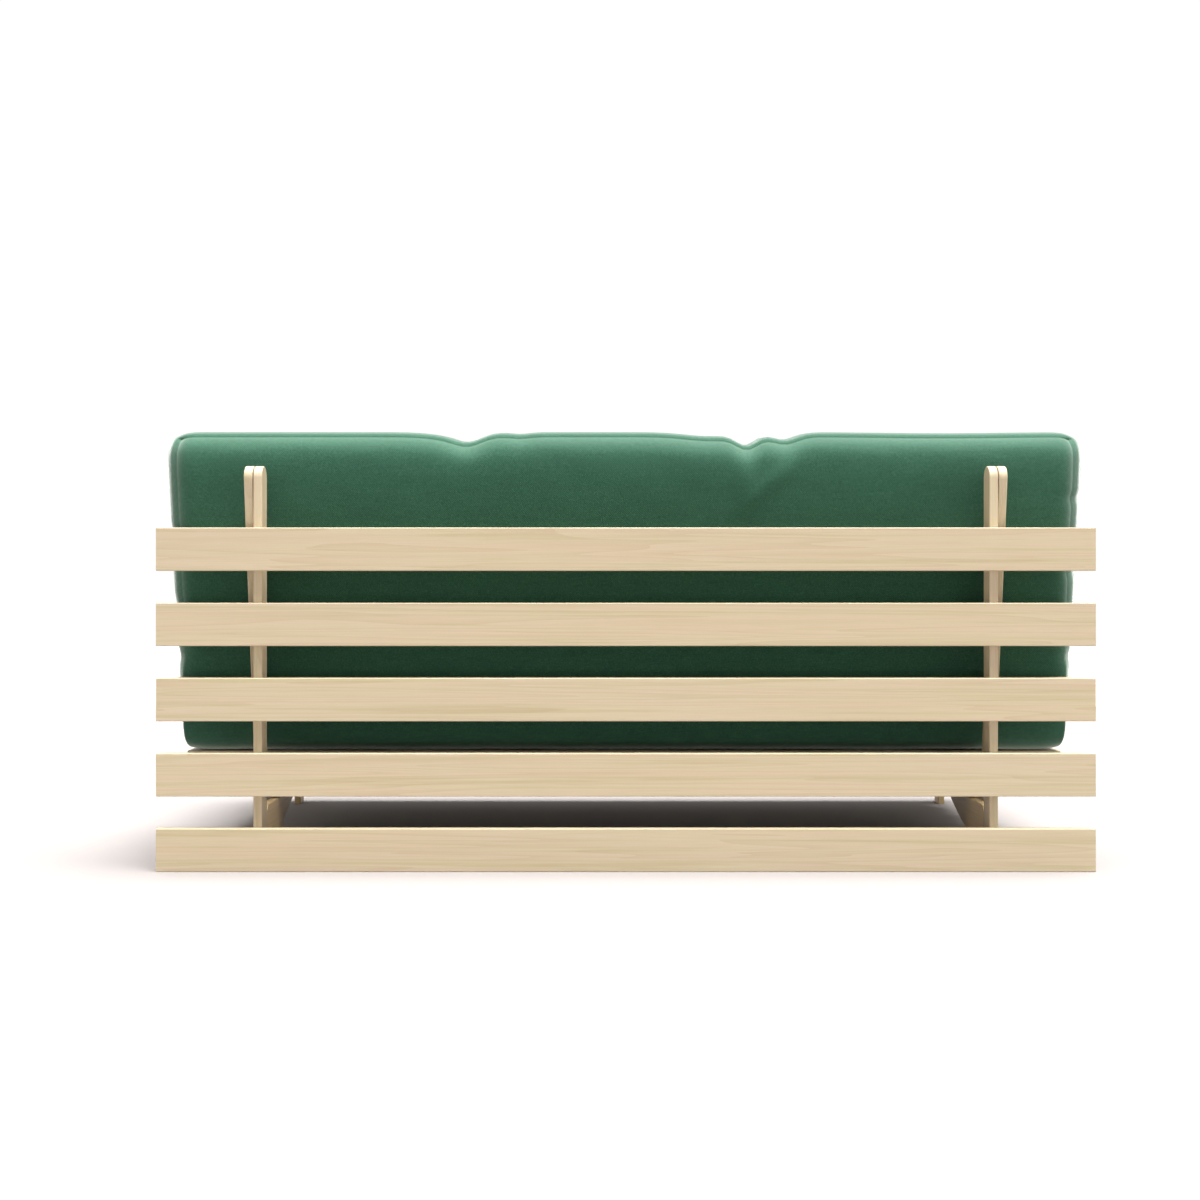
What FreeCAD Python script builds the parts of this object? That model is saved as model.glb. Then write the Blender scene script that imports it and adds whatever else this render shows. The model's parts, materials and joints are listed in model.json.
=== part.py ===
import FreeCAD, Part
import math
import os

# Futon sofa bed: a slatted base, a leaning back frame and an upright rear frame that unfold into
# one flat bed, with a mattress folded into a back section and a double seat.
# Millimetres. +X is the sofa's width, +Y points to its front, +Z is up.
# The origin is the centre of the bounding box's bottom face.

V = FreeCAD.Vector

# Driving dimensions
width = 1600.0                 # slats and mattress
depth = 911.0                  # back face of the rear slats to front of the base
slat_height = 73.5             # face width of every slat
slat_thickness = 18.0
rear_slat_pitch = 128.2        # five slats on the rear frame, the lowest on the floor
rear_slat_count = 5
back_slat_pitch = 134.0        # three long slats on the back frame
back_slat_count = 3
seat_slat_count = 6
seat_slat_pitch = rear_slat_pitch
rail_thickness = 15.0          # all rails are boards standing on edge
rail_depth = 40.0
edge_round = 2.0               # eased edges of rails and legs
slat_round = 1.5               # eased edges of slats

# Widthwise places of the nested rails, measured from the centre to each inner face
rear_rail_inner = 623.5
back_rail_inner = 640.0
seat_rail_inner = 656.0
cheek_inner = seat_rail_inner + rail_thickness
front_leg_inner = 724.0
front_leg_thickness = 14.0
front_leg_depth = 40.0

# Pivots in the plane of the rails, (depth from the rear slats' back face, height)
half_rail = rail_depth / 2
deck_height = slat_thickness + half_rail
top_pivot = (deck_height, 674.0)
seat_pivot = (122.0, 149.0)
base_top = seat_pivot[1] + half_rail
apron_thickness = slat_thickness
apron_back = depth - apron_thickness

back_lean = math.atan2(seat_pivot[0] - top_pivot[0], top_pivot[1] - seat_pivot[1])
back_length = math.hypot(seat_pivot[0] - top_pivot[0], top_pivot[1] - seat_pivot[1])
back_tail = 40.0               # back rails reach this far below the seat pivot
top_back_slat = 404.0          # centre of the highest back slat, along the rail from the seat pivot
low_back_slat = -3.5           # centre of the short slat at the rails' lower ends
low_slat_screw = 20.0          # its screws pass above the seat pivot

# Rear frame's feet
foot_low = 32.5
foot_high = foot_low + slat_height
foot_reach = top_pivot[0] + seat_pivot[1]

# Curved side legs under the seat
cheek_back = 235.0
cheek_foot_end = 270.0
cheek_radius = 767.0
cheek_rise_angle = math.radians(5.0)

# Mattress
mattress_thickness = 140.0
mattress_gap = 0.5             # soft solids stay this far from the frame and from each other
back_pad_low = 34.0            # along the back rail from the seat pivot
back_pad_high = 606.0
pad_round = 40.0
seat_front_gap = 5.0

# Fasteners
pin_radius = 5.0
pin_clearance = 0.05
head_radius = 9.0
head_depth = 4.0
recess_gap = 0.5
bolt_radius = 4.0
dowel_radius = 4.0
dowel_length = 30.0
screw_radius = 2.5
screw_head_radius = 5.0
screw_head_depth = 3.0
screw_length = 40.0
apron_screw_length = 30.0
washer_radius = 11.0
foot_dowel_length = 50.0
dowel_setback = 3.0            # rear slats' dowels stop short of the back face by this much more
blind_wall = 3.0               # wood left between the upper pivot's sleeve nut and the inner face
cheek_bolt_depths = (300.0, 440.0, 580.0)
overrun = 1.0                  # cutters reach past the faces they open


def place(shape):
    """Move a shape from the rear face datum to the centre of the footprint."""
    moved = shape.copy()
    moved.translate(V(0, -depth / 2, 0))
    return moved


def save(node, shape):
    place(shape).exportStep("parts/" + node + ".step")


def mirrored(shape):
    return shape.mirror(V(0, 0, 0), V(1, 0, 0))


def save_pair(node, shape):
    """Write a right-hand piece and its left-hand twin."""
    save(node + "_right", shape)
    save(node + "_left", mirrored(shape))


def long_edges(shape, axis):
    """Edges that run along one axis."""
    found = []
    for edge in shape.Edges:
        if isinstance(edge.Curve, Part.Line) and abs(edge.Curve.Direction.dot(axis)) > 0.999:
            found.append(edge)
    return found


def slat(y_low, z_low, y_size, z_size, half_length):
    """A board across the sofa with eased long edges."""
    board = Part.makeBox(2 * half_length, y_size, z_size, V(-half_length, y_low, z_low))
    return board.makeFillet(slat_round, long_edges(board, V(1, 0, 0)))


def plate(points_and_arcs, inner, thickness):
    """A flat board cut to an outline in the YZ plane, on the +X side, with eased outline edges."""
    face = Part.Face(Part.Wire(points_and_arcs))
    face.translate(V(inner, 0, 0))
    board = face.extrude(V(thickness, 0, 0))
    outline = []
    for edge in board.Edges:
        box = edge.BoundBox
        if box.XLength < 0.01:
            outline.append(edge)
    return board.makeFillet(edge_round, outline)


def line(a, b):
    return Part.makeLine(V(0, a[0], a[1]), V(0, b[0], b[1]))


def arc(a, middle, b):
    return Part.Arc(V(0, a[0], a[1]), V(0, middle[0], middle[1]), V(0, b[0], b[1])).toShape()


def x_cylinder(radius, x_low, x_high, centre):
    return Part.makeCylinder(radius, x_high - x_low, V(x_low, centre[0], centre[1]), V(1, 0, 0))


def group(solids):
    return Part.makeCompound(solids)


def on_back(along, out):
    """Point of the leaning back frame: along the rail from the seat pivot, and out to its front."""
    y = seat_pivot[0] - along * math.sin(back_lean) + out * math.cos(back_lean)
    z = seat_pivot[1] + along * math.cos(back_lean) + out * math.sin(back_lean)
    return (y, z)


def lean(shape):
    """Turn a shape built upright over the seat pivot into the back frame's lean."""
    tilted = shape.copy()
    tilted.rotate(V(0, seat_pivot[0], seat_pivot[1]), V(1, 0, 0), math.degrees(back_lean))
    return tilted


# Rear frame: upright in the sofa, the tail of the bed
def rear_slat_low(index):
    return index * rear_slat_pitch


def rear_dowel(x, height):
    start = V(x, slat_thickness - dowel_length / 2 + dowel_setback, height)
    return Part.makeCylinder(dowel_radius, dowel_length, start, V(0, 1, 0))


def rear_dowels():
    x = rear_rail_inner + rail_thickness / 2
    dowels = []
    for index in range(rear_slat_count):
        middle = rear_slat_low(index) + slat_height / 2
        for side in (-1, 1):
            dowels.append(rear_dowel(side * x, middle))
    return dowels


def foot_dowels():
    x = rear_rail_inner + rail_thickness / 2
    start = top_pivot[0] + half_rail - foot_dowel_length / 2
    quarter = (foot_high - foot_low) / 4
    dowels = []
    for height in (foot_low + quarter, foot_high - quarter):
        for side in (-1, 1):
            at = V(side * x, start, height)
            dowels.append(Part.makeCylinder(dowel_radius, foot_dowel_length, at, V(0, 1, 0)))
    return dowels


def rear_rail(dowels):
    back = top_pivot[0] - half_rail
    front = top_pivot[0] + half_rail
    top = top_pivot[1]
    outline = [
        line((back, 0), (front, 0)),
        line((front, 0), (front, top)),
        arc((front, top), (top_pivot[0], top + half_rail), (back, top)),
        line((back, top), (back, 0)),
    ]
    rail = plate(outline, rear_rail_inner, rail_thickness)
    outer = rear_rail_inner + rail_thickness
    pocket = x_cylinder(head_radius + pin_clearance, rear_rail_inner + blind_wall, outer + overrun, top_pivot)
    return rail.cut(pocket).cut(group(dowels))


def rear_foot(dowels):
    back = top_pivot[0] + half_rail
    corner = half_rail / 2
    slant = corner * math.sin(math.pi / 4)
    outline = [
        line((back, foot_low), (foot_reach, foot_low)),
        line((foot_reach, foot_low), (foot_reach, foot_high - corner)),
        arc((foot_reach, foot_high - corner),
            (foot_reach - corner + slant, foot_high - corner + slant),
            (foot_reach - corner, foot_high)),
        line((foot_reach - corner, foot_high), (back + corner, foot_high)),
        line((back + corner, foot_high), (back, foot_high - corner)),
        line((back, foot_high - corner), (back, foot_low)),
    ]
    return plate(outline, rear_rail_inner, rail_thickness).cut(group(dowels))


def make_rear_frame():
    slat_dowels = rear_dowels()
    leg_dowels = foot_dowels()
    save_pair("rear_rail", rear_rail(slat_dowels + leg_dowels))
    save_pair("rear_foot", rear_foot(leg_dowels))
    for index in range(rear_slat_count):
        board = slat(0, rear_slat_low(index), slat_thickness, slat_height, width / 2)
        save("rear_slat_%d" % (index + 1), board.cut(group(slat_dowels)))
    save("rear_slat_dowels", group(slat_dowels))
    save("rear_foot_dowels", group(leg_dowels))


# Back frame: carries the upright part of the mattress
def back_slat_centres():
    centres = [low_back_slat]
    for index in reversed(range(back_slat_count)):
        centres.append(top_back_slat - index * back_slat_pitch)
    return centres


def screw_along_y(x, y_face, z, length):
    """Countersunk screw driven from +Y towards -Y, its head flush with the face at y_face."""
    head = Part.makeCone(screw_head_radius, screw_radius, screw_head_depth, V(x, y_face, z), V(0, -1, 0))
    shank_length = length - screw_head_depth
    shank = Part.makeCylinder(screw_radius, shank_length, V(x, y_face - screw_head_depth, z), V(0, -1, 0))
    return head.fuse(shank).removeSplitter()


def screw_along_z(x, y, z_face):
    head = Part.makeCone(screw_head_radius, screw_radius, screw_head_depth, V(x, y, z_face), V(0, 0, -1))
    shank_length = screw_length - screw_head_depth
    shank = Part.makeCylinder(screw_radius, shank_length, V(x, y, z_face - screw_head_depth), V(0, 0, -1))
    return head.fuse(shank).removeSplitter()


def back_screws():
    x = back_rail_inner + rail_thickness / 2
    face = seat_pivot[0] + deck_height
    screws = []
    for along in [low_slat_screw] + back_slat_centres()[1:]:
        for side in (-1, 1):
            at_height = seat_pivot[1] + along
            screws.append(lean(screw_along_y(side * x, face, at_height, screw_length)))
    return screws


def back_rail(screws):
    """The rail is built upright over the seat pivot, then leaned with its round ends."""
    back = seat_pivot[0] - half_rail
    front = seat_pivot[0] + half_rail
    low = seat_pivot[1] - back_tail + half_rail
    top = seat_pivot[1] + back_length
    outline = [
        arc((back, low), (seat_pivot[0], low - half_rail), (front, low)),
        line((front, low), (front, top)),
        arc((front, top), (seat_pivot[0], top + half_rail), (back, top)),
        line((back, top), (back, low)),
    ]
    rail = lean(plate(outline, back_rail_inner, rail_thickness))
    outer = back_rail_inner + rail_thickness
    bore = pin_radius + pin_clearance
    rail = rail.cut(x_cylinder(bore, back_rail_inner - overrun, outer + overrun, seat_pivot))
    rail = rail.cut(x_cylinder(pin_radius, back_rail_inner - overrun, outer + overrun, top_pivot))
    rail = rail.cut(x_cylinder(head_radius, outer - head_depth, outer + overrun, top_pivot))
    return rail.cut(group(screws))


def back_slat(centre, half_length, screws):
    y_low = seat_pivot[0] + half_rail
    z_low = seat_pivot[1] + centre - slat_height / 2
    return lean(slat(y_low, z_low, slat_thickness, slat_height, half_length)).cut(group(screws))


def top_pin():
    """Pin fixed in the back rail; its sleeve nut turns in the rear rail's blind pocket."""
    outer = back_rail_inner + rail_thickness
    start = rear_rail_inner + blind_wall + recess_gap
    shank = x_cylinder(pin_radius, start, outer - head_depth, top_pivot)
    head = x_cylinder(head_radius, outer - head_depth, outer, top_pivot)
    return shank.fuse(head).removeSplitter()


def top_nut():
    start = rear_rail_inner + blind_wall + recess_gap
    end = rear_rail_inner + rail_thickness - recess_gap
    sleeve = x_cylinder(head_radius, start, end, top_pivot)
    return sleeve.cut(x_cylinder(pin_radius, start - overrun, end + overrun, top_pivot))


def washer(centre, x_low, x_high):
    ring = x_cylinder(washer_radius, x_low, x_high, centre)
    hole = x_cylinder(pin_radius + recess_gap, x_low - overrun, x_high + overrun, centre)
    return ring.cut(hole)


def make_back_frame():
    screws = back_screws()
    save_pair("back_rail", back_rail(screws))
    short = back_rail_inner + rail_thickness
    for number, centre in enumerate(back_slat_centres()):
        half_length = short if number == 0 else width / 2
        save("back_slat_%d" % (number + 1), back_slat(centre, half_length, screws))
    save("back_slat_screws", group(screws))
    save_pair("top_pivot_pin", top_pin())
    nut = top_nut()
    save("top_pivot_nuts", group([nut, mirrored(nut)]))
    gap_low = rear_rail_inner + rail_thickness + recess_gap / 2
    ring = washer(top_pivot, gap_low, back_rail_inner - recess_gap / 2)
    save("top_pivot_washers", group([ring, mirrored(ring)]))


# Base: seat deck, curved side legs and front legs
def seat_slat_backs():
    backs = []
    for index in range(seat_slat_count):
        backs.append(depth - slat_height - index * seat_slat_pitch)
    return backs


def seat_screws():
    x = seat_rail_inner + rail_thickness / 2
    screws = []
    for back in seat_slat_backs()[1:]:
        for side in (-1, 1):
            screws.append(screw_along_z(side * x, back + slat_height / 2, base_top + slat_thickness))
    front_y = apron_back - slat_height / 2
    for side in (-1, 1):
        screws.append(screw_along_z(side * x, front_y, base_top + slat_thickness))
    return screws


def cheek_bolt_places():
    return [(place_y, seat_pivot[1]) for place_y in cheek_bolt_depths]


def x_bolt(centre, x_low, x_high):
    """Bolt across the sofa with a flush head on its outer side."""
    shank = x_cylinder(bolt_radius, x_low, x_high - head_depth, centre)
    head = x_cylinder(2 * bolt_radius, x_high - head_depth, x_high, centre)
    return shank.fuse(head).removeSplitter()


def cheek_bolts():
    outer = cheek_inner + rail_thickness
    bolts = []
    for centre in cheek_bolt_places():
        bolts.append(x_bolt(centre, seat_rail_inner, outer))
    return bolts


def leg_bolts():
    y = apron_back - front_leg_depth / 2
    outer = front_leg_inner + front_leg_thickness
    bolts = []
    for height in (seat_pivot[1] - half_rail / 2, seat_pivot[1] + half_rail / 2):
        bolts.append(x_bolt((y, height), seat_rail_inner, outer))
    return bolts


def apron_screws():
    screws = []
    for x in (front_leg_inner + front_leg_thickness / 2, seat_rail_inner + rail_thickness / 2):
        for side in (-1, 1):
            screws.append(screw_along_y(side * x, depth, seat_pivot[1], apron_screw_length))
    return screws


def seat_rail(cutters):
    back = seat_pivot[0]
    low = seat_pivot[1] - half_rail
    outline = [
        line((back, low), (apron_back, low)),
        line((apron_back, low), (apron_back, base_top)),
        line((apron_back, base_top), (back, base_top)),
        arc((back, base_top), (back - half_rail, seat_pivot[1]), (back, low)),
    ]
    rail = plate(outline, seat_rail_inner, rail_thickness)
    outer = seat_rail_inner + rail_thickness
    rail = rail.cut(x_cylinder(pin_radius, seat_rail_inner - overrun, outer + overrun, seat_pivot))
    rail = rail.cut(x_cylinder(head_radius, outer - head_depth, outer + overrun, seat_pivot))
    return rail.cut(group(cutters))


def cheek(cutters):
    """Side leg whose lower edge sweeps up from its foot to the underside of the seat rail."""
    rail_low = seat_pivot[1] - half_rail
    centre_y = cheek_foot_end - cheek_radius * math.sin(cheek_rise_angle)
    centre_z = cheek_radius * math.cos(cheek_rise_angle)
    end_angle = math.acos((centre_z - rail_low) / cheek_radius)
    middle_angle = (cheek_rise_angle + end_angle) / 2

    def on_sweep(angle):
        return (centre_y + cheek_radius * math.sin(angle), centre_z - cheek_radius * math.cos(angle))

    tip = on_sweep(end_angle)
    outline = [
        line((cheek_back, 0), (cheek_foot_end, 0)),
        arc((cheek_foot_end, 0), on_sweep(middle_angle), tip),
        line(tip, (tip[0], base_top)),
        line((tip[0], base_top), (cheek_back, base_top)),
        line((cheek_back, base_top), (cheek_back, 0)),
    ]
    return plate(outline, cheek_inner, rail_thickness).cut(group(cutters))


def front_leg(cutters):
    low_y = apron_back - front_leg_depth
    outline = [
        line((low_y, 0), (apron_back, 0)),
        line((apron_back, 0), (apron_back, base_top)),
        line((apron_back, base_top), (low_y, base_top)),
        line((low_y, base_top), (low_y, 0)),
    ]
    return plate(outline, front_leg_inner, front_leg_thickness).cut(group(cutters))


def corner_block(cutters):
    height = 60.0
    span = front_leg_inner - cheek_inner
    corner = V(cheek_inner, apron_back - front_leg_depth, base_top - height)
    return Part.makeBox(span, front_leg_depth, height, corner).cut(group(cutters))


def seat_pin():
    """Pin fixed in the seat rail; the back rail turns on it."""
    outer = cheek_inner
    shank = x_cylinder(pin_radius, back_rail_inner - head_depth - recess_gap, outer - head_depth, seat_pivot)
    head = x_cylinder(head_radius, outer - head_depth, outer, seat_pivot)
    return shank.fuse(head).removeSplitter()


def seat_nut():
    x_high = back_rail_inner - recess_gap
    x_low = x_high - head_depth
    body = x_cylinder(head_radius, x_low, x_high, seat_pivot)
    return body.cut(x_cylinder(pin_radius, x_low - overrun, x_high + overrun, seat_pivot))


def make_base():
    slat_screws = seat_screws()
    side_bolts = cheek_bolts()
    front_bolts = leg_bolts()
    front_screws = apron_screws()
    save_pair("seat_rail", seat_rail(slat_screws + side_bolts + front_bolts + front_screws))
    save_pair("curved_leg", cheek(side_bolts))
    save_pair("front_leg", front_leg(front_bolts + front_screws))
    save_pair("corner_block", corner_block(front_bolts))
    apron = slat(apron_back, base_top - slat_height, apron_thickness, slat_height, width / 2)
    save("front_apron", apron.cut(group(front_screws)))
    for number, back in enumerate(seat_slat_backs()):
        board = slat(back, base_top, slat_height, slat_thickness, width / 2)
        save("seat_slat_%d" % (number + 1), board.cut(group(slat_screws)))
    save("seat_slat_screws", group(slat_screws))
    save("curved_leg_bolts", group(side_bolts + [mirrored(bolt) for bolt in side_bolts]))
    save("front_leg_bolts", group(front_bolts + [mirrored(bolt) for bolt in front_bolts]))
    save("apron_screws", group(front_screws))
    save_pair("seat_pivot_pin", seat_pin())
    nut = seat_nut()
    save("seat_pivot_nuts", group([nut, mirrored(nut)]))
    gap = recess_gap / 2
    ring = washer(seat_pivot, back_rail_inner + rail_thickness + gap, seat_rail_inner - gap)
    save("seat_pivot_washers", group([ring, mirrored(ring)]))


# Mattress: plain closed solids of the right size and place
def pad(corners):
    """Rounded prism across the sofa from its corners in the YZ plane."""
    edges = []
    for a, b in zip(corners, corners[1:] + corners[:1]):
        edges.append(line(a, b))
    face = Part.Face(Part.Wire(edges))
    face.translate(V(-width / 2, 0, 0))
    block = face.extrude(V(width, 0, 0))
    return block.makeFillet(pad_round, long_edges(block, V(1, 0, 0)))


def make_mattress():
    out_low = deck_height + mattress_gap
    out_high = deck_height + mattress_thickness
    corners = [
        on_back(back_pad_low, out_low),
        on_back(back_pad_low, out_high),
        on_back(back_pad_high, out_high),
        on_back(back_pad_high, out_low),
    ]
    save("mattress_back", pad(corners))
    front = depth - seat_front_gap
    foot = on_back(back_pad_low, out_high + 2 * mattress_gap)
    for number, name in enumerate(("mattress_seat_lower", "mattress_seat_upper")):
        low = base_top + slat_thickness + mattress_gap + number * mattress_thickness
        high = low + mattress_thickness - mattress_gap
        back_at_low = foot[0] - (low - foot[1]) * math.tan(back_lean)
        back_at_high = foot[0] - (high - foot[1]) * math.tan(back_lean)
        save(name, pad([(back_at_low, low), (front, low), (front, high), (back_at_high, high)]))


os.makedirs("parts", exist_ok=True)
make_rear_frame()
make_back_frame()
make_base()
make_mattress()
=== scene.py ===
import json
import math
import bpy
import numpy as np
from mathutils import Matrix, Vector


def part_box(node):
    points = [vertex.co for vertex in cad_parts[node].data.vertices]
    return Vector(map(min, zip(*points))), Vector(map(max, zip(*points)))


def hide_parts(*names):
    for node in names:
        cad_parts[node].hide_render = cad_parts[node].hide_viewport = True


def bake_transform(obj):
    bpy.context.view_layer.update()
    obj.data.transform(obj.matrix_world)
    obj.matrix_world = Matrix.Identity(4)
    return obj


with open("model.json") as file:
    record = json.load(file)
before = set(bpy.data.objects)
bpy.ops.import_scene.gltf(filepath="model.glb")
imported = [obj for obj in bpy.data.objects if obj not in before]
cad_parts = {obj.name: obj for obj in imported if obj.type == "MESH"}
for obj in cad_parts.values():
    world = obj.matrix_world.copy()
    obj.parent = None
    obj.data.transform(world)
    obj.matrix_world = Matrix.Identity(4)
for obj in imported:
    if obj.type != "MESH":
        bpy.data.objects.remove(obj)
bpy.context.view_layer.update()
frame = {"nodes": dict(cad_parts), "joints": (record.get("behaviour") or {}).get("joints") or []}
scene = bpy.context.scene

# ---------------------------------------------------------------- settings, in metres
LENS_MM = 45.0
SENSOR_MM = 36.0
CAMERA_X = -0.044
CAMERA_BEHIND_SLATS = 2.553
CAMERA_HEIGHT = 0.463

# each sun: name, the direction it shines from, strength and spread in degrees
SUNS = (("overhead", (0.13, -0.10, 1), 12.5, 42),
        ("fill", (0.25, -1, 0.16), 0.25, 30))
WORLD_STRENGTH = 0.5
FLOOR_COLOUR = (0.262, 0.242, 0.234)
FLOOR_REACH = 30.0
NEAR_FLOOR_END = 3.5
FAR_FLOOR_GLOW = 0.6
BACKDROP_Y = 12.0
BACKDROP_SPAN = 14.0
BACKDROP_FOOT = -1
BACKDROP_GLOW = 1.02

# pine: places on the colour ramp with the pale wood's colours there, then the dark wood between the rings
PINE_PALE = ((0.30, (0.467, 0.388, 0.247)),
             (0.45, (0.515, 0.443, 0.304)),
             (0.58, (0.531, 0.429, 0.311)),
             (0.72, (0.474, 0.419, 0.256)))
PINE_DARK = (0.386, 0.290, 0.166)
PLAIN_TONE = (1, 1, 1)
# boards that stand in the shade under the seat get a warmer pine: painted shade
PAINTED_SHADE_TONE = (1.12, 1.0, 0.80)
BEECH_TONE = (0.9, 0.85, 0.8)
PAINTED_SHADE_BOARDS = ("curved_leg", "rear_foot", "front_leg", "corner_block", "seat_rail")
STEEL_WORDS = ("screw", "bolt", "_pin_", "nuts")
STEEL_COLOUR = (0.60, 0.60, 0.61)
STEEL_ROUGHNESS = 0.32
COVER_SHADES = ((0.28, (0.012, 0.071, 0.040)),
                (0.50, (0.021, 0.101, 0.058)),
                (0.74, (0.048, 0.143, 0.090)))
THREAD = 0.0016

# the mattress: its place, its rounding and its folds; the heel is its bend between back and seat
REST_GAP = 0.001
LAYER_GAP = 0.001
RAIL_HALF = 0.020
BACK_LOW = 0.034
BACK_HIGH = 0.606
EDGE_RADIUS = 0.040
HEEL_RADIUS = 0.045
HEEL_LENGTH = 0.150
FOLD_LENGTH = 0.230
FRONT_MARGIN = 0.004
LOOSE_END_GAP = 0.004
FOLD_SQUARENESS = 2 / 2.5
CREASE_SPREAD = 0.006
FOLD_SPREAD = 0.012
HEEL_SQUARE = 0.8
HEEL_SQUARE_PLACE = 0.06
HEEL_SQUARE_REACH = 0.16

# tufts: columns across, rows down the back from its top end and rows in from the seat's loose end
TUFT_PITCH = 0.2475
TUFT_SHIFT = -0.0315
TUFT_WIDEST = 0.74
TUFT_BACK_ROWS = (0.16, 0.30)
TUFT_SEAT_ROWS = (0.13, 0.31, 0.47)
TUFT_DEPTH = 0.024
TUFT_SPREAD = 0.028
TUFT_HELD = 0.014

# filling out by cloth simulation
CLOTH_STEPS = 20
CLOTH_LIMIT = 0.022
RIM = 0.045

# sewn details: seams, then the top edge's sags as (place across, spread, depth), then the side edges'
# notches as (place down from the top end, depth)
SEAM_INSET = 0.018
SEAM_DEPTH = 0.0005
SEAM_SPREAD = 0.0028
PILLOW_HEIGHT = 0.016
PILLOW_LENGTH = 0.085
PILLOW_THICKNESS = 0.06
SIDE_SWELL = 0.014
SIDE_REACH = 0.05
TOP_REACH = 0.075
SAGS = ((-0.300, 0.055, 0.006), (-0.277, 0.032, 0.012), (-0.185, 0.022, 0.003), (0.150, 0.060, 0.007),
        (0.216, 0.026, 0.021), (0.282, 0.030, 0.013), (0.560, 0.150, 0.002))
CREASE_X = 0.212
NOTCHES = ((0.115, 0.004), (0.245, 0.004), (0.34, 0.006), (0.40, 0.003))
WAVES = ((0.0011, 28.0), (0.0006, 75.0))
SEED = 7

# ---------------------------------------------------------------- sizes from the frame
joints = {joint["name"]: joint for joint in frame["joints"]}
seat_pivot = Vector(joints["back_fold"]["pos_m"])
top_pivot = Vector(joints["rear_frame_fold"]["pos_m"])
lean = math.atan2(seat_pivot.y - top_pivot.y, top_pivot.z - seat_pivot.z)
slats_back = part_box("rear_slat_1")[0].y
deck_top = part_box("seat_slat_1")[1].z
slat_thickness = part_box("rear_slat_1")[1].y - slats_back
pad_low, pad_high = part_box("mattress_seat_lower")
half_width = pad_high.x
thickness = pad_high.z - pad_low.z
front_y = pad_high.y
out_near = RAIL_HALF + slat_thickness + REST_GAP
out_far = out_near + thickness


def on_back(along, out):
    """Point (y, z) of the leaning back: up along the rail from the seat pivot, and out to its front."""
    y = seat_pivot.y - along * math.sin(lean) + out * math.cos(lean)
    z = seat_pivot.z + along * math.cos(lean) + out * math.sin(lean)
    return np.array((y, z))


def along_at(height):
    """How far along the rail the mattress's front face on the back reaches a height."""
    return (height - seat_pivot.z - out_far * math.sin(lean)) / math.cos(lean)


# ---------------------------------------------------------------- camera, light and floor
def make_camera():
    data = bpy.data.cameras.new("camera")
    data.lens = LENS_MM
    data.sensor_width = SENSOR_MM
    camera = bpy.data.objects.new("camera", data)
    camera.location = (CAMERA_X, slats_back - CAMERA_BEHIND_SLATS, CAMERA_HEIGHT)
    camera.rotation_euler = (math.radians(90), 0, 0)
    scene.collection.objects.link(camera)
    scene.camera = camera


def sun_light(name, direction, strength, spread):
    data = bpy.data.lights.new(name, "SUN")
    data.energy = strength
    data.angle = math.radians(spread)
    lamp = bpy.data.objects.new(name, data)
    lamp.rotation_euler = Vector(direction).to_track_quat("Z", "Y").to_euler()
    scene.collection.objects.link(lamp)


def sheet(name, corners, colour, glow):
    """A flat stage surface: the floor, or the lit white backdrop."""
    mesh = bpy.data.meshes.new(name)
    mesh.from_pydata(corners, [], [(0, 1, 2, 3)])
    surface = bpy.data.objects.new(name, mesh)
    scene.collection.objects.link(surface)
    material = bpy.data.materials.new(name)
    material.use_nodes = True
    shader = material.node_tree.nodes["Principled BSDF"]
    shader.inputs["Base Color"].default_value = (*colour, 1)
    shader.inputs["Roughness"].default_value = 0.9
    shader.inputs["Specular IOR Level"].default_value = 0.1
    shader.inputs["Emission Color"].default_value = (1, 1, 1, 1)
    shader.inputs["Emission Strength"].default_value = glow
    mesh.materials.append(material)


def level_corners(y_near, y_far):
    """Corners of a piece of floor as wide as the stage."""
    return [(-FLOOR_REACH, y_near, 0), (FLOOR_REACH, y_near, 0),
            (FLOOR_REACH, y_far, 0), (-FLOOR_REACH, y_far, 0)]


def make_studio():
    """An even white surrounding: the far floor and the backdrop glow, so nothing shows behind the sofa."""
    world = bpy.data.worlds.new("studio")
    world.use_nodes = True
    world.node_tree.nodes["Background"].inputs["Color"].default_value = (1, 1, 1, 1)
    world.node_tree.nodes["Background"].inputs["Strength"].default_value = WORLD_STRENGTH
    scene.world = world
    scene.view_settings.view_transform = "Standard"
    for name, direction, strength, spread in SUNS:
        sun_light(name, direction, strength, spread)
    sheet("floor", level_corners(-FLOOR_REACH, NEAR_FLOOR_END), FLOOR_COLOUR, 0.0)
    sheet("far_floor", level_corners(NEAR_FLOOR_END, FLOOR_REACH), FLOOR_COLOUR, FAR_FLOOR_GLOW)
    upright = [(-BACKDROP_SPAN, BACKDROP_Y, BACKDROP_FOOT), (BACKDROP_SPAN, BACKDROP_Y, BACKDROP_FOOT),
               (BACKDROP_SPAN, BACKDROP_Y, BACKDROP_SPAN), (-BACKDROP_SPAN, BACKDROP_Y, BACKDROP_SPAN)]
    sheet("backdrop", upright, (0, 0, 0), BACKDROP_GLOW)


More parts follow.
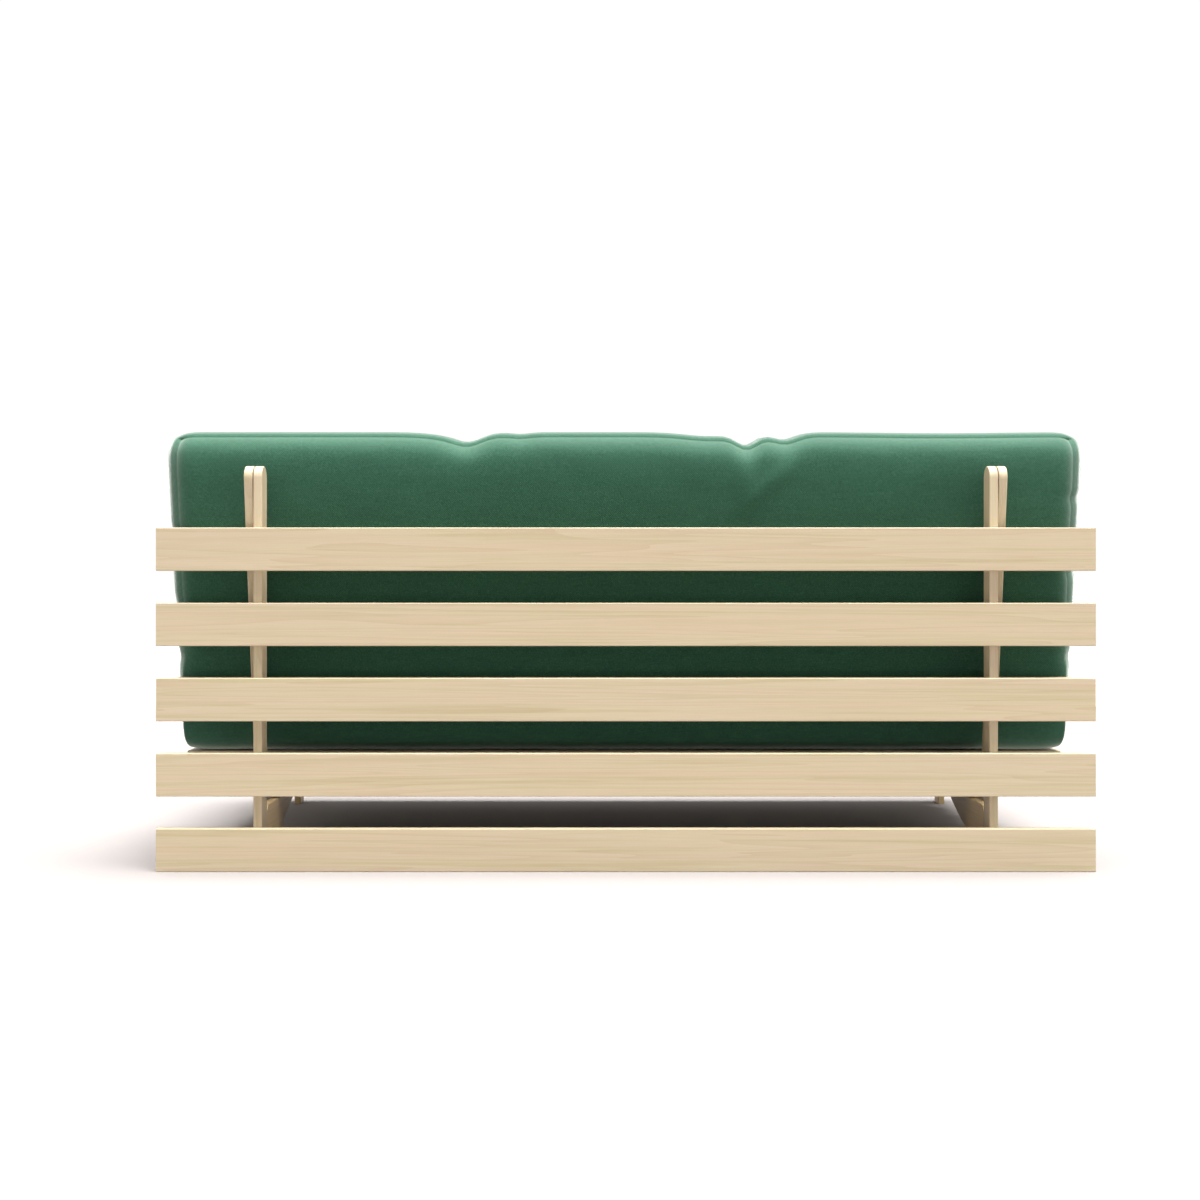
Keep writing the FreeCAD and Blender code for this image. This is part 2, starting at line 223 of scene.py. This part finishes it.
# ---------------------------------------------------------------- node helpers
class Graph:
    """Short calls for building one material's nodes."""

    def __init__(self, name):
        self.material = bpy.data.materials.new(name)
        self.material.use_nodes = True
        self.tree = self.material.node_tree
        self.surface = self.tree.nodes["Principled BSDF"]

    def node(self, kind, **settings):
        made = self.tree.nodes.new(kind)
        for key, value in settings.items():
            setattr(made, key, value)
        return made

    def link(self, source, target):
        self.tree.links.new(source, target)

    def put(self, target, value):
        if hasattr(value, "links"):
            self.link(value, target)
        else:
            target.default_value = value

    def math(self, operation, a, b=0.0):
        made = self.node("ShaderNodeMath", operation=operation)
        self.put(made.inputs[0], a)
        self.put(made.inputs[1], b)
        return made.outputs[0]

    def coords(self, scale=(1, 1, 1), offset=(0, 0, 0)):
        place = self.node("ShaderNodeTexCoord")
        mapping = self.node("ShaderNodeMapping")
        mapping.inputs["Scale"].default_value = scale
        mapping.inputs["Location"].default_value = offset
        self.link(place.outputs["Object"], mapping.inputs["Vector"])
        return mapping.outputs["Vector"]

    def noise(self, vector, scale, detail=3.0, roughness=0.5, distortion=0.0):
        made = self.node("ShaderNodeTexNoise")
        self.link(vector, made.inputs["Vector"])
        made.inputs["Scale"].default_value = scale
        made.inputs["Detail"].default_value = detail
        made.inputs["Roughness"].default_value = roughness
        made.inputs["Distortion"].default_value = distortion
        return made.outputs["Fac"]

    def ramp(self, value, stops):
        made = self.node("ShaderNodeValToRGB")
        ramp = made.color_ramp
        while len(ramp.elements) < len(stops):
            ramp.elements.new(0.5)
        for element, (place, colour) in zip(ramp.elements, stops):
            element.position = place
            element.color = (*colour, 1)
        self.put(made.inputs["Fac"], value)
        return made.outputs["Color"]

    def mix(self, factor, a, b, blend="MIX"):
        made = self.node("ShaderNodeMix", data_type="RGBA", blend_type=blend)
        self.put(made.inputs[0], factor)
        self.put(made.inputs[6], a)
        self.put(made.inputs[7], b)
        return made.outputs[2]

    def bump(self, height, strength, distance):
        made = self.node("ShaderNodeBump")
        self.link(height, made.inputs["Height"])
        made.inputs["Strength"].default_value = strength
        made.inputs["Distance"].default_value = distance
        self.link(made.outputs["Normal"], self.surface.inputs["Normal"])


# ---------------------------------------------------------------- materials
def pine(name, axis, seed, tone=PLAIN_TONE):
    """Pale lacquered pine with its grain along one axis of the sofa."""
    g = Graph(name)

    def shade(colour):
        return tuple(part * share for part, share in zip(colour, tone))

    shift = (seed * 1.37, seed * 2.11, seed * 0.73)

    def stretched(along, across):
        return g.coords([along if i == axis else across for i in range(3)], shift)

    rings = g.noise(stretched(along=0.55, across=26), 1.0, detail=2.0, roughness=0.45, distortion=0.35)
    lines = g.math("FRACT", g.math("MULTIPLY", rings, 14.0))
    soft_lines = g.math("POWER", lines, 2.2)
    streaks = g.noise(stretched(along=1.6, across=95), 1.0, detail=3.0, roughness=0.6)
    pores = g.noise(stretched(along=14, across=900), 1.0, detail=2.0, roughness=0.6)
    patches = g.noise(stretched(along=1.6, across=7), 1.0, detail=2.0)
    pale = g.ramp(streaks, [(place, shade(colour)) for place, colour in PINE_PALE])
    dark = (*shade(PINE_DARK), 1)
    colour = g.mix(g.math("MULTIPLY", soft_lines, 0.30), pale, dark)
    fine = g.ramp(pores, [(0.35, (0.93, 0.91, 0.87)), (0.62, (1.0, 1.0, 1.0))])
    colour = g.mix(0.55, colour, fine, "MULTIPLY")
    warm = g.ramp(patches, [(0.35, (1.0, 0.985, 0.955)), (0.65, (1.0, 1.0, 1.0))])
    colour = g.mix(0.8, colour, warm, "MULTIPLY")
    g.link(colour, g.surface.inputs["Base Color"])
    rough = g.ramp(pores, [(0.3, (0.56, 0.56, 0.56)), (0.7, (0.46, 0.46, 0.46))])
    g.link(rough, g.surface.inputs["Roughness"])
    g.surface.inputs["Specular IOR Level"].default_value = 0.35
    relief = g.math("ADD", g.math("MULTIPLY", pores, 0.6), g.math("MULTIPLY", soft_lines, 0.4))
    g.bump(relief, strength=0.25, distance=0.0004)
    return g.material


def metal(name, colour, roughness):
    g = Graph(name)
    grain = g.noise(g.coords((1, 1, 1)), 900.0, detail=3.0)
    tint = g.ramp(grain, [(0.3, tuple(0.9 * c for c in colour)), (0.7, colour)])
    g.link(tint, g.surface.inputs["Base Color"])
    g.surface.inputs["Metallic"].default_value = 1.0
    rough = g.ramp(grain, [(0.3, (roughness,) * 3), (0.7, (roughness + 0.12,) * 3)])
    g.link(rough, g.surface.inputs["Roughness"])
    g.bump(grain, strength=0.1, distance=0.0002)
    return g.material


def nylon():
    g = Graph("nylon_washer")
    grain = g.noise(g.coords(), 400.0, detail=2.0)
    tint = g.ramp(grain, [(0.3, (0.72, 0.71, 0.67)), (0.7, (0.80, 0.79, 0.75))])
    g.link(tint, g.surface.inputs["Base Color"])
    g.surface.inputs["Roughness"].default_value = 0.45
    g.bump(grain, strength=0.1, distance=0.0001)
    return g.material


def weave(g, thread):
    """Height of a plain weave seen square to whichever way the cloth faces."""
    place = g.node("ShaderNodeTexCoord")
    split = g.node("ShaderNodeSeparateXYZ")
    g.link(place.outputs["Object"], split.inputs[0])
    normal = g.node("ShaderNodeSeparateXYZ")
    g.link(place.outputs["Normal"], normal.inputs[0])
    step = math.pi / thread
    x, y, z = (g.math("SINE", g.math("MULTIPLY", split.outputs[i], step)) for i in range(3))
    facing = [g.math("POWER", g.math("ABSOLUTE", normal.outputs[i]), 3.0) for i in range(3)]
    along_y = g.math("MULTIPLY", g.math("MULTIPLY", x, z), facing[1])
    along_z = g.math("MULTIPLY", g.math("MULTIPLY", x, y), facing[2])
    along_x = g.math("MULTIPLY", g.math("MULTIPLY", y, z), facing[0])
    return g.math("ADD", g.math("ADD", along_y, along_z), along_x)


def cloth_material():
    """Heathered green plain weave, with the threads, slubs and faint clouds each tinting it in turn."""
    g = Graph("mattress_cloth")
    threads = weave(g, THREAD)
    heather = g.noise(g.coords((1, 1, 1)), 420.0, detail=3.0, roughness=0.7)
    slubs = g.noise(g.coords((18, 260, 260)), 1.0, detail=2.0, roughness=0.6)
    clouds = g.noise(g.coords(), 5.0, detail=3.0)
    base = g.ramp(heather, COVER_SHADES)
    thread_tint = g.ramp(threads, [(0.25, (0.55, 0.60, 0.56)), (0.8, (1.15, 1.12, 1.14))])
    slub_tint = g.ramp(slubs, [(0.35, (0.85, 0.88, 0.86)), (0.65, (1.1, 1.08, 1.08))])
    cloud_tint = g.ramp(clouds, [(0.35, (0.94, 0.95, 0.94)), (0.65, (1.04, 1.04, 1.04))])
    base = g.mix(0.35, base, thread_tint, "MULTIPLY")
    base = g.mix(0.4, base, slub_tint, "MULTIPLY")
    base = g.mix(0.6, base, cloud_tint, "MULTIPLY")
    g.link(base, g.surface.inputs["Base Color"])
    g.surface.inputs["Roughness"].default_value = 0.7
    g.surface.inputs["Specular IOR Level"].default_value = 0.18
    g.surface.inputs["Sheen Weight"].default_value = 1.0
    g.surface.inputs["Sheen Roughness"].default_value = 0.40
    g.surface.inputs["Sheen Tint"].default_value = (0.92, 0.97, 0.90, 1)
    height = g.math("ADD", g.math("MULTIPLY", threads, 0.6), g.math("MULTIPLY", heather, 0.5))
    g.bump(height, strength=0.45, distance=0.0008)
    return g.material


def paint(node, material):
    mesh = frame["nodes"][node].data
    if not mesh.materials:
        mesh.materials.append(material)
    for index in range(len(mesh.materials)):
        mesh.materials[index] = material


def board_material(node, number):
    """Pine of a board's own, with the grain along its longest side; boards that stand in the shade get a
    warmer tone, which is painted shade.
    """
    low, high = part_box(node)
    sides = [high[i] - low[i] for i in range(3)]
    # the warmer tone on the boards under the seat is painted shade
    tone = PAINTED_SHADE_TONE if node.startswith(PAINTED_SHADE_BOARDS) else PLAIN_TONE
    return pine("pine_" + node, sides.index(max(sides)), float(number), tone)


def dress_frame():
    steel = metal("zinc_plated_steel", STEEL_COLOUR, STEEL_ROUGHNESS)
    washer = nylon()
    beech = pine("beech_dowel", 1, 40.0, BEECH_TONE)
    for number, node in enumerate(sorted(frame["nodes"])):
        if node.startswith("mattress"):
            continue
        if "washer" in node:
            paint(node, washer)
        elif "dowel" in node:
            paint(node, beech)
        elif any(word in node for word in STEEL_WORDS):
            paint(node, steel)
        else:
            paint(node, board_material(node, number))


# ---------------------------------------------------------------- mattress
# A lattice point is (x, s, t): across, along from the top end, and from the outside inwards. The mesh keeps
# each under these names until the sewn details are done.
LATTICE_NAMES = ("lx", "ls", "lt")


def spaced(length, count, round_radius):
    """Lattice places from 0 to length, close together where the edge is rounded."""
    near = [0.0, 0.12, 0.27, 0.45, 0.70, 1.0]
    edge = [round_radius * share for share in near]
    middle = np.linspace(round_radius, length - round_radius, count)[1:-1]
    return np.array(edge + list(middle) + [length - e for e in reversed(edge)])


def lattice(xs, ss, ts):
    """Surface of a box as quads; returns lattice corners and faces."""
    index = {}
    points = []
    faces = []

    def corner(i, j, k):
        key = (i, j, k)
        if key not in index:
            index[key] = len(points)
            points.append((xs[i], ss[j], ts[k]))
        return index[key]

    nx, ns, nt = len(xs) - 1, len(ss) - 1, len(ts) - 1
    for i in range(nx):
        for j in range(ns):
            faces.append((corner(i, j, 0), corner(i + 1, j, 0),
                          corner(i + 1, j + 1, 0), corner(i, j + 1, 0)))
            faces.append((corner(i, j, nt), corner(i, j + 1, nt),
                          corner(i + 1, j + 1, nt), corner(i + 1, j, nt)))
    for j in range(ns):
        for k in range(nt):
            faces.append((corner(0, j, k), corner(0, j + 1, k),
                          corner(0, j + 1, k + 1), corner(0, j, k + 1)))
            faces.append((corner(nx, j, k), corner(nx, j, k + 1),
                          corner(nx, j + 1, k + 1), corner(nx, j + 1, k)))
    for i in range(nx):
        for k in range(nt):
            faces.append((corner(i, 0, k), corner(i, 0, k + 1),
                          corner(i + 1, 0, k + 1), corner(i + 1, 0, k)))
            faces.append((corner(i, ns, k), corner(i + 1, ns, k),
                          corner(i + 1, ns, k + 1), corner(i, ns, k + 1)))
    return np.array(points), faces


def rounded(points, low, high, radius):
    inner = np.clip(points, low + radius, high - radius)
    away = points - inner
    length = np.linalg.norm(away, axis=1, keepdims=True)
    length[length < 1e-9] = 1.0
    return inner + away / length * radius * (np.abs(away).max(axis=1, keepdims=True) / radius)


def back_rows(bend):
    """Stations down the back, from the mattress's top end to the bend."""
    rows = []
    for share in np.linspace(0, 1, 20):
        along = BACK_HIGH + (bend - BACK_HIGH) * share
        rows.append((on_back(along, out_near), on_back(along, out_far), BACK_HIGH - along))
    return rows


def heel_rows(last, crease, low):
    """Stations round the bend: the outside follows the rounded heel and the inside stays at the crease."""
    corner = on_back(BACK_LOW, out_near)
    centre = np.array((corner[0] + HEEL_RADIUS, low + HEEL_RADIUS))
    route = [last[0]]
    for share in np.linspace(0, 1, 7):
        angle = math.pi - lean + (math.pi / 2 + lean) * share
        route.append(centre + HEEL_RADIUS * np.array((math.cos(angle), math.sin(angle))))
    route.append(np.array((crease[0], low)))
    route = np.array(route)
    reached = np.concatenate([[0], np.cumsum(np.linalg.norm(np.diff(route, axis=0), axis=1))])
    rows = []
    for share in np.linspace(0, 1, 16)[1:]:
        at = share * reached[-1]
        outer = np.array([np.interp(at, reached, route[:, i]) for i in range(2)])
        inner = crease + np.array((CREASE_SPREAD * share, -LAYER_GAP * share))
        rows.append((outer, inner, last[2] + HEEL_LENGTH * share))
    return rows


def lower_seat_rows(last, crease, run, low, mid):
    """Stations forward along the lower seat layer."""
    rows = []
    for share in np.linspace(0, 1, 12)[1:]:
        y = crease[0] + run * share
        rows.append((np.array((y, low)), np.array((y, mid - LAYER_GAP)), last[2] + run * share))
    return rows


def front_fold_rows(last, fold):
    """Stations round the front fold, whose outside is a slightly squared half circle."""
    rows = []
    for share in np.linspace(0, 1, 25)[1:]:
        angle = -math.pi / 2 + math.pi * share
        reach = thickness * abs(math.cos(angle)) ** FOLD_SQUARENESS
        rise = thickness * math.copysign(abs(math.sin(angle)) ** FOLD_SQUARENESS, math.sin(angle))
        inner = fold + np.array((FOLD_SPREAD * math.cos(angle), LAYER_GAP * math.sin(angle)))
        rows.append((fold + np.array((reach, rise)), inner, last[2] + FOLD_LENGTH * share))
    return rows


def upper_seat_rows(last, fold, run, mid):
    """Stations back along the upper seat layer to the loose end, which slopes with the back."""
    slope = math.tan(lean) * thickness
    rows = []
    for share in np.linspace(0, 1, 12)[1:]:
        y = fold[0] - run * share
        outer = np.array((y - slope * share, mid + thickness))
        rows.append((outer, np.array((y, mid + LAYER_GAP)), last[2] + run * share))
    return rows


def stations():
    """The folded mattress as places along it, each with an outer and an inner point, and where it bends."""
    low = deck_top + REST_GAP
    mid = low + thickness
    bend = along_at(mid)
    crease = on_back(bend, out_far)
    fold = np.array((front_y - thickness - FRONT_MARGIN, mid))
    lower_run = fold[0] - crease[0]
    upper_run = lower_run - LOOSE_END_GAP
    rows = back_rows(bend)
    rows += heel_rows(rows[-1], crease, low)
    rows += lower_seat_rows(rows[-1], crease, lower_run, low, mid)
    rows += front_fold_rows(rows[-1], fold)
    rows += upper_seat_rows(rows[-1], fold, upper_run, mid)
    outer = np.array([row[0] for row in rows])
    inner = np.array([row[1] for row in rows])
    places = np.array([row[2] for row in rows])
    return places, outer, inner, {"bend": BACK_HIGH - bend, "fold": places[-1] - upper_run - FOLD_LENGTH / 2}


def tuft_columns():
    columns = [TUFT_SHIFT + TUFT_PITCH * step for step in range(-3, 4)]
    return [x for x in columns if abs(x) < TUFT_WIDEST]


def tuft_places(total):
    """(x, s, face) of each tuft: face 1 is the back's front, face 0 is the seat's top."""
    places = []
    for x in tuft_columns():
        for s in TUFT_BACK_ROWS:
            places.append((x, s, 1))
        for row in TUFT_SEAT_ROWS:
            places.append((x, total - row, 0))
    return places


def bent(points, places, outer, inner, depth):
    """Lattice points (x, s, t) placed in space along the folded mattress."""
    s, t = points[:, 1], points[:, 2] / depth
    near = np.stack([np.interp(s, places, outer[:, i]) for i in range(2)], axis=1)
    far = np.stack([np.interp(s, places, inner[:, i]) for i in range(2)], axis=1)
    yz = near + (far - near) * t[:, None]
    return np.column_stack([points[:, 0], yz])


def smooth_noise(points, scale, seed):
    """A few crossed sine waves: cheap, smooth and the same on every run."""
    rng = np.random.default_rng(seed)
    total = np.zeros(len(points))
    for _ in range(7):
        direction = rng.normal(size=3)
        direction /= np.linalg.norm(direction)
        total += np.sin(points @ direction * scale * rng.uniform(0.6, 1.6) + rng.uniform(0, 6.28))
    return total / 7


def read_vertices(mesh, name):
    """One vector per vertex: its place with "co", its normal with "normal"."""
    flat = np.empty(len(mesh.vertices) * 3)
    mesh.vertices.foreach_get(name, flat)
    return flat.reshape(-1, 3)


def set_vertices(mesh, points):
    mesh.vertices.foreach_set("co", points.reshape(-1))
    mesh.update()


def hold_weights(lat, total, depth, marks):
    """How firmly each point stays where it is while the cover fills out: 1 is fixed and 0 is free.

    Later lines win over earlier ones, so the order matters.
    """
    x, s, t = lat[:, 0], lat[:, 1], lat[:, 2]
    share = t / depth
    from_side = np.abs(np.abs(x) - half_width)
    back = s < marks["bend"]
    seat_top = s > marks["fold"]
    folded = (s > marks["bend"] - 0.05) & ~seat_top
    near_rim = (s < RIM) | (from_side < RIM)
    front_of_seat = (s > marks["bend"] + 0.15) & (s > marks["fold"] - 0.10) & ~seat_top
    hold = np.zeros(len(lat))
    hold[back & (share < 0.75)] = 0.9
    hold[back & (share < 0.10)] = 1.0
    hold[folded] = 1.0
    hold[seat_top & (share > 0.5)] = 0.95
    hold[s > total - 0.04] = 0.97
    hold[s < RIM] = 1.0
    hold[near_rim & (share < 0.35) & back] = 1.0
    hold[(from_side < 0.002) & (hold < 0.97) & ~folded] = 0.90
    hold[front_of_seat & (share < 0.4)] = 0.3
    for tuft_x, tuft_s, face in tuft_places(total):
        near = np.hypot(x - tuft_x, s - tuft_s) < TUFT_HELD
        on_face = share > 0.9 if face else share < 0.1
        hold[near & on_face] = 1.0
    return hold


def fill_out(obj, hold):
    """Swell the cover with cloth simulation, held at its tufts, folds and resting faces.

    No point moves farther than CLOTH_LIMIT.
    """
    group = obj.vertex_groups.new(name="hold")
    for level in np.unique(np.round(hold, 2)):
        members = np.nonzero(np.round(hold, 2) == level)[0]
        group.add([int(m) for m in members], float(level), "REPLACE")
    start = read_vertices(obj.data, "co")
    modifier = obj.modifiers.new("cloth", "CLOTH")
    settings = modifier.settings
    settings.quality = 4
    settings.mass = 0.3
    settings.tension_stiffness = 12
    settings.compression_stiffness = 8
    settings.shear_stiffness = 5
    settings.bending_stiffness = 0.8
    settings.use_pressure = True
    settings.uniform_pressure_force = 4.0
    settings.vertex_group_mass = "hold"
    settings.pin_stiffness = 1.0
    settings.effector_weights.gravity = 0
    modifier.point_cache.frame_start = 1
    modifier.point_cache.frame_end = CLOTH_STEPS
    for step in range(1, CLOTH_STEPS + 1):
        scene.frame_set(step)
    depsgraph = bpy.context.evaluated_depsgraph_get()
    evaluated = obj.evaluated_get(depsgraph)
    swollen = read_vertices(evaluated.data, "co")
    obj.modifiers.clear()
    obj.vertex_groups.clear()
    scene.frame_set(1)
    move = swollen - start
    length = np.linalg.norm(move, axis=1, keepdims=True)
    length[length < 1e-9] = 1e-9
    move *= np.minimum(1.0, CLOTH_LIMIT / length)
    set_vertices(obj.data, start + move)


def store(mesh, name, values):
    attribute = mesh.attributes.new(name, "FLOAT", "POINT")
    attribute.data.foreach_set("value", values.astype(np.float32))


def stored(mesh, name):
    values = np.empty(len(mesh.vertices), np.float32)
    mesh.attributes[name].data.foreach_get("value", values)
    return values.astype(float)


def apply_subdivision(obj):
    modifier = obj.modifiers.new("smooth", "SUBSURF")
    modifier.levels = 1
    modifier.render_levels = 1
    depsgraph = bpy.context.evaluated_depsgraph_get()
    finished = bpy.data.meshes.new_from_object(obj.evaluated_get(depsgraph))
    obj.modifiers.clear()
    obj.data = finished


def bell(distance, spread):
    """Smooth hump of height 1, down to 1/e at its spread."""
    return np.exp(-(distance / spread) ** 2)


def fade(distance, reach):
    """1 at no distance, falling evenly to 0 at its reach."""
    return np.clip(1 - distance / reach, 0, 1)


def sewn_details(obj, total, depth):
    """Seams, swollen edges, sags, creases and notches, worked into the finished mesh."""
    mesh = obj.data
    points = read_vertices(mesh, "co")
    normal = read_vertices(mesh, "normal")
    x, s, t = (stored(mesh, name) for name in LATTICE_NAMES)
    from_side = half_width - np.abs(x)
    up = np.array((0, -math.sin(lean), math.cos(lean)))
    forward = np.array((0, math.cos(lean), math.sin(lean)))

    rim = np.maximum(np.minimum(np.minimum(s, total - s), from_side), 0)
    for seam in (SEAM_INSET, depth - SEAM_INSET):
        points -= normal * (SEAM_DEPTH * bell(np.hypot(rim, t - seam), SEAM_SPREAD))[:, None]

    # the rear top edge is pillowed forward, and the sides swell, less so farther down
    points += forward * (PILLOW_HEIGHT * fade(s, PILLOW_LENGTH) ** 2 * fade(t, PILLOW_THICKNESS))[:, None]
    swell = SIDE_SWELL * np.sin(math.pi * np.clip(t / depth, 0, 1)) * fade(from_side, SIDE_REACH)
    points[:, 0] += np.sign(x) * swell * np.clip(1 - (s - 0.25) / 0.6, 0.35, 1)

    # the top edge is a little higher at the rear than at the front, and sags in places
    near_top = bell(s, TOP_REACH)
    points += up * (0.007 * near_top * fade(t, 0.08) - 0.003 * near_top)[:, None]
    for place, spread, sag in SAGS:
        points -= up * (sag * bell(x - place, spread) * near_top)[:, None]

    # a crease runs down from the deepest sag, and a fork of it to the side
    rear = (t < 0.02) & (s < 0.30)
    crease = 0.0045 * bell(x - CREASE_X, 0.016) * bell(s - 0.08, 0.06)
    fork = 0.0050 * bell(x - CREASE_X + 0.95 * (s - 0.13), 0.020) * bell(s - 0.085, 0.045)
    points -= normal * ((crease + fork) * rear)[:, None]

    # each notch has a shallower one a little lower on the other side
    for place, notch in NOTCHES:
        points[:, 0] -= notch * bell(s - place, 0.010) * bell(half_width - x, SIDE_REACH)
        points[:, 0] += 0.5 * notch * bell(s - place - 0.06, 0.014) * bell(half_width + x, SIDE_REACH)

    waves = sum(height * smooth_noise(points, scale, SEED + number)
                for number, (height, scale) in enumerate(WAVES))
    away_from_ends = (s > 0.03) & (s < total - 0.03)
    points += normal * (waves * away_from_ends)[:, None]
    set_vertices(mesh, points)


def padded_shape(lat, total, depth, marks):
    """The lattice with its edges rounded, its heel squared and its tufts pulled in, before it is folded."""
    low = np.array((-half_width, 0, 0))
    high = np.array((half_width, total, depth))
    shaped = rounded(lat, low, high, EDGE_RADIUS)
    from_heel = np.abs(lat[:, 1] - marks["bend"] - HEEL_SQUARE_PLACE)
    square = fade(from_heel, HEEL_SQUARE_REACH) * HEEL_SQUARE
    shaped += (lat - shaped) * np.where(lat[:, 2] < EDGE_RADIUS, square, 0)[:, None]
    for tuft_x, tuft_s, face in tuft_places(total):
        distance = np.hypot(lat[:, 0] - tuft_x, lat[:, 1] - tuft_s)
        on_face = lat[:, 2] > 0.9 * depth if face else lat[:, 2] < 0.1 * depth
        dip = TUFT_DEPTH * bell(distance, TUFT_SPREAD) * on_face
        shaped[:, 2] += -dip if face else dip
    return shaped


def make_mattress(material):
    places, outer, inner, marks = stations()
    total = places[-1]
    xs = spaced(2 * half_width, 70, EDGE_RADIUS) - half_width
    ss = spaced(total, 120, EDGE_RADIUS)
    ts = spaced(thickness, 5, EDGE_RADIUS)
    lat, faces = lattice(xs, ss, ts)
    shaped = padded_shape(lat, total, thickness, marks)
    mesh = bpy.data.meshes.new("mattress")
    mesh.from_pydata(bent(shaped, places, outer, inner, thickness).tolist(), [], faces)
    mesh.update()
    for name, values in zip(LATTICE_NAMES, lat.T):
        store(mesh, name, values)
    obj = bpy.data.objects.new("mattress", mesh)
    scene.collection.objects.link(obj)
    bpy.context.view_layer.update()
    fill_out(obj, hold_weights(lat, total, thickness, marks))
    apply_subdivision(obj)
    sewn_details(obj, total, thickness)
    for polygon in obj.data.polygons:
        polygon.use_smooth = True
    obj.data.materials.clear()
    obj.data.materials.append(material)
    for name in LATTICE_NAMES:
        obj.data.attributes.remove(obj.data.attributes[name])
    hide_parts("mattress_back", "mattress_seat_lower", "mattress_seat_upper")
    return obj


make_camera()
make_studio()
dress_frame()
mattress = make_mattress(cloth_material())
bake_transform(mattress)
